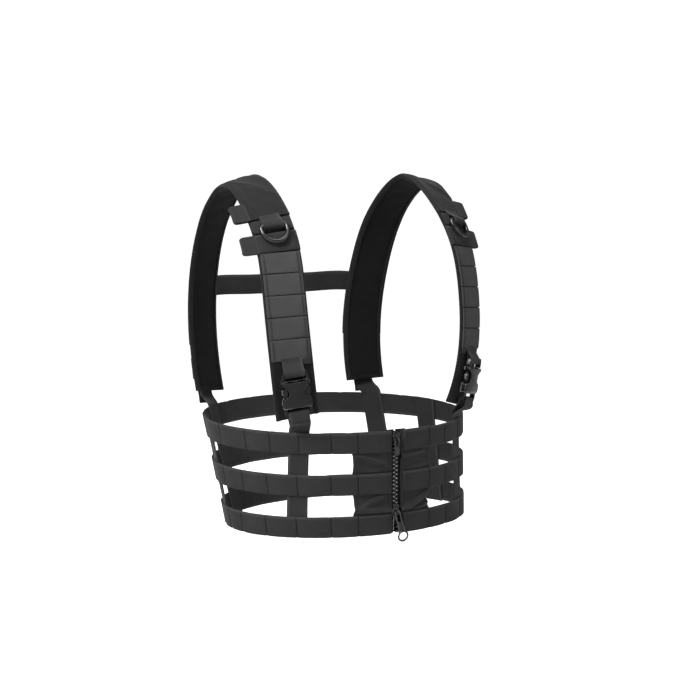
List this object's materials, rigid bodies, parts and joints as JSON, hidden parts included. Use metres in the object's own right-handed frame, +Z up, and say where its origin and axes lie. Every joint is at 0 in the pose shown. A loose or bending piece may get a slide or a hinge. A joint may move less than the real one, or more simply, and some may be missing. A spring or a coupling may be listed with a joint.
{
  "type": "harness vest",
  "caption": "Zip-front load-bearing harness vest of black webbing: belt rows round the ribs, padded shoulder straps, buckles, D-rings and cable loops.",
  "frame": {"origin": "middle of the belt's top row seen from above, at the height of the belt's lower edge at the zip", "axes": "+Z up as worn, -Y towards the wearer's front, -X towards the wearer's right"},
  "size_m": [0.3748, 0.2521, 0.4506],
  "materials": {
    "webbing": "matte woven nylon webbing",
    "padded_fabric": "matte woven nylon cloth over foam",
    "zip_tape": "matte woven tape",
    "zip_teeth": "glossy moulded teeth",
    "zip_metal": "glossy black enamel",
    "ring_metal": "semi-gloss black coating",
    "buckle_plastic": "satin moulded acetal"
  },
  "bodies": {
    "back": {"row_low_back": "webbing", "row_mid_back": "webbing", "row_top_back": "webbing", "side_upright_right": "webbing", "side_upright_left": "webbing", "back_upright_right": "webbing", "back_upright_left": "webbing", "side_bend_right": "webbing", "side_bend_left": "webbing", "shoulder_bend_right": "padded_fabric", "shoulder_bend_left": "padded_fabric", "strap_pad_rear_right": "padded_fabric", "strap_pad_rear_left": "padded_fabric", "cross_strap": "webbing"},
    "right_front": {"row_low_front_right": "webbing", "row_mid_front_right": "webbing", "row_top_front_right": "webbing", "front_panel_right": "padded_fabric", "front_upright_right": "webbing", "zip_tape_right": "zip_tape", "zip_teeth_right": "zip_teeth", "strap_pad_front_right": "padded_fabric", "shoulder_cover_right": "padded_fabric", "strap_pals_right": "webbing", "cable_loops_right": "webbing", "d_ring_keeper_right": "webbing", "buckle_female_right": "buckle_plastic", "male_web_right": "webbing"},
    "right_buckle_male": {"buckle_male_right": "buckle_plastic"},
    "right_prong_outer": {"prong_outer_right": "buckle_plastic"},
    "right_prong_inner": {"prong_inner_right": "buckle_plastic"},
    "right_d_ring": {"d_ring_right": "ring_metal"},
    "right_ladder_lock": {"ladder_lock_right": "buckle_plastic"},
    "left_front": {"row_low_front_left": "webbing", "row_mid_front_left": "webbing", "row_top_front_left": "webbing", "front_panel_left": "padded_fabric", "front_upright_left": "webbing", "zip_tape_left": "zip_tape", "zip_teeth_left": "zip_teeth", "strap_pad_front_left": "padded_fabric", "shoulder_cover_left": "padded_fabric", "strap_pals_left": "webbing", "cable_loops_left": "webbing", "d_ring_keeper_left": "webbing", "buckle_female_left": "buckle_plastic", "male_web_left": "webbing"},
    "left_buckle_male": {"buckle_male_left": "buckle_plastic"},
    "left_prong_outer": {"prong_outer_left": "buckle_plastic"},
    "left_prong_inner": {"prong_inner_left": "buckle_plastic"},
    "left_d_ring": {"d_ring_left": "ring_metal"},
    "left_ladder_lock": {"ladder_lock_left": "buckle_plastic"},
    "lower_slider": {"lower_slider": "zip_metal"},
    "lower_pull": {"lower_pull": "zip_metal"},
    "upper_slider": {"upper_slider": "zip_metal"},
    "upper_pull": {"upper_pull": "zip_metal"},
    "cross_glide": {"cross_glide": "buckle_plastic"}
  },
  "joints": [
    {"name": "right_front_swing", "type": "hinge", "parent": "back", "child": "right_front", "pos_m": [-0.162, 0.002, 0], "axis": [0, 0, -1], "range_deg": [0, 40], "deforming": ["side_bend_right", "shoulder_bend_right", "zip_teeth_right", "zip_teeth_left", "zip_tape_right", "zip_tape_left"]},
    {"name": "right_buckle_release", "type": "slide", "parent": "right_front", "child": "right_buckle_male", "axis": [-0.1825, -0.0752, 0.9803], "range_m": [0, 0.03], "deforming": ["male_web_right", "prong_outer_right", "prong_inner_right"]},
    {"name": "right_prong_outer_squeeze", "type": "hinge", "parent": "right_buckle_male", "child": "right_prong_outer", "pos_m": [-0.15057, -0.0986, 0.19251], "axis": [-0.4025, -0.904, -0.1442], "range_deg": [0, 7], "stiffness_Nm_per_rad": 0.02, "deforming": ["prong_outer_right"]},
    {"name": "right_prong_inner_squeeze", "type": "hinge", "parent": "right_buckle_male", "child": "right_prong_inner", "pos_m": [-0.1303, -0.10811, 0.19555], "axis": [-0.4025, -0.904, -0.1442], "range_deg": [-7, 0], "stiffness_Nm_per_rad": 0.02, "deforming": ["prong_inner_right"]},
    {"name": "right_d_ring_swing", "type": "hinge", "parent": "right_front", "child": "right_d_ring", "pos_m": [-0.14542, -0.06696, 0.37972], "axis": [-0.9372, 0.3125, -0.1549], "range_deg": [0, 150]},
    {"name": "right_ladder_lock_tilt", "type": "hinge", "parent": "back", "child": "right_ladder_lock", "pos_m": [-0.12903, 0.11199, 0.2053], "axis": [0.9611, 0.2761, 0.0033], "range_deg": [0, 35]},
    {"name": "left_front_swing", "type": "hinge", "parent": "back", "child": "left_front", "pos_m": [0.162, 0.002, 0], "axis": [0, 0, 1], "range_deg": [0, 40], "deforming": ["side_bend_left", "shoulder_bend_left", "zip_teeth_right", "zip_teeth_left", "zip_tape_right", "zip_tape_left"]},
    {"name": "left_buckle_release", "type": "slide", "parent": "left_front", "child": "left_buckle_male", "axis": [0.1825, -0.0752, 0.9803], "range_m": [0, 0.03], "deforming": ["male_web_left", "prong_outer_left", "prong_inner_left"]},
    {"name": "left_prong_outer_squeeze", "type": "hinge", "parent": "left_buckle_male", "child": "left_prong_outer", "pos_m": [0.15057, -0.0986, 0.19251], "axis": [-0.4025, 0.904, 0.1442], "range_deg": [0, 7], "stiffness_Nm_per_rad": 0.02, "deforming": ["prong_outer_left"]},
    {"name": "left_prong_inner_squeeze", "type": "hinge", "parent": "left_buckle_male", "child": "left_prong_inner", "pos_m": [0.1303, -0.10811, 0.19555], "axis": [-0.4025, 0.904, 0.1442], "range_deg": [-7, 0], "stiffness_Nm_per_rad": 0.02, "deforming": ["prong_inner_left"]},
    {"name": "left_d_ring_swing", "type": "hinge", "parent": "left_front", "child": "left_d_ring", "pos_m": [0.14542, -0.06696, 0.37972], "axis": [-0.9372, -0.3125, 0.1549], "range_deg": [0, 150]},
    {"name": "left_ladder_lock_tilt", "type": "hinge", "parent": "back", "child": "left_ladder_lock", "pos_m": [0.12903, 0.11199, 0.2053], "axis": [0.9611, -0.2761, -0.0033], "range_deg": [0, 35]},
    {"name": "lower_slider_travel", "type": "slide", "parent": "left_front", "child": "lower_slider", "axis": [0, 0, 1], "range_m": [0, 0.058], "deforming": ["zip_teeth_right", "zip_teeth_left", "zip_tape_right", "zip_tape_left"]},
    {"name": "lower_pull_swing", "type": "hinge", "parent": "lower_slider", "child": "lower_pull", "pos_m": [0, -0.12385, 0.0271], "axis": [-0.9703, -0.0211, -0.241], "range_deg": [0, 120]},
    {"name": "upper_slider_travel", "type": "slide", "parent": "left_front", "child": "upper_slider", "axis": [0, 0, 1], "range_m": [-0.058, 0], "stiffness_N_per_m": 40, "deforming": ["zip_teeth_right", "zip_teeth_left", "zip_tape_right", "zip_tape_left"]},
    {"name": "upper_pull_swing", "type": "hinge", "parent": "upper_slider", "child": "upper_pull", "pos_m": [0, -0.12385, 0.1171], "axis": [-1, 0, 0], "range_deg": [0, 120]},
    {"name": "cross_glide_travel", "type": "slide", "parent": "back", "child": "cross_glide", "axis": [1, 0, 0], "range_m": [-0.06, 0.06]}
  ],
  "couplings": [
    {"joint": "right_prong_inner_squeeze", "follows": "right_prong_outer_squeeze", "ratio": -1},
    {"joint": "left_prong_inner_squeeze", "follows": "left_prong_outer_squeeze", "ratio": -1}
  ]
}
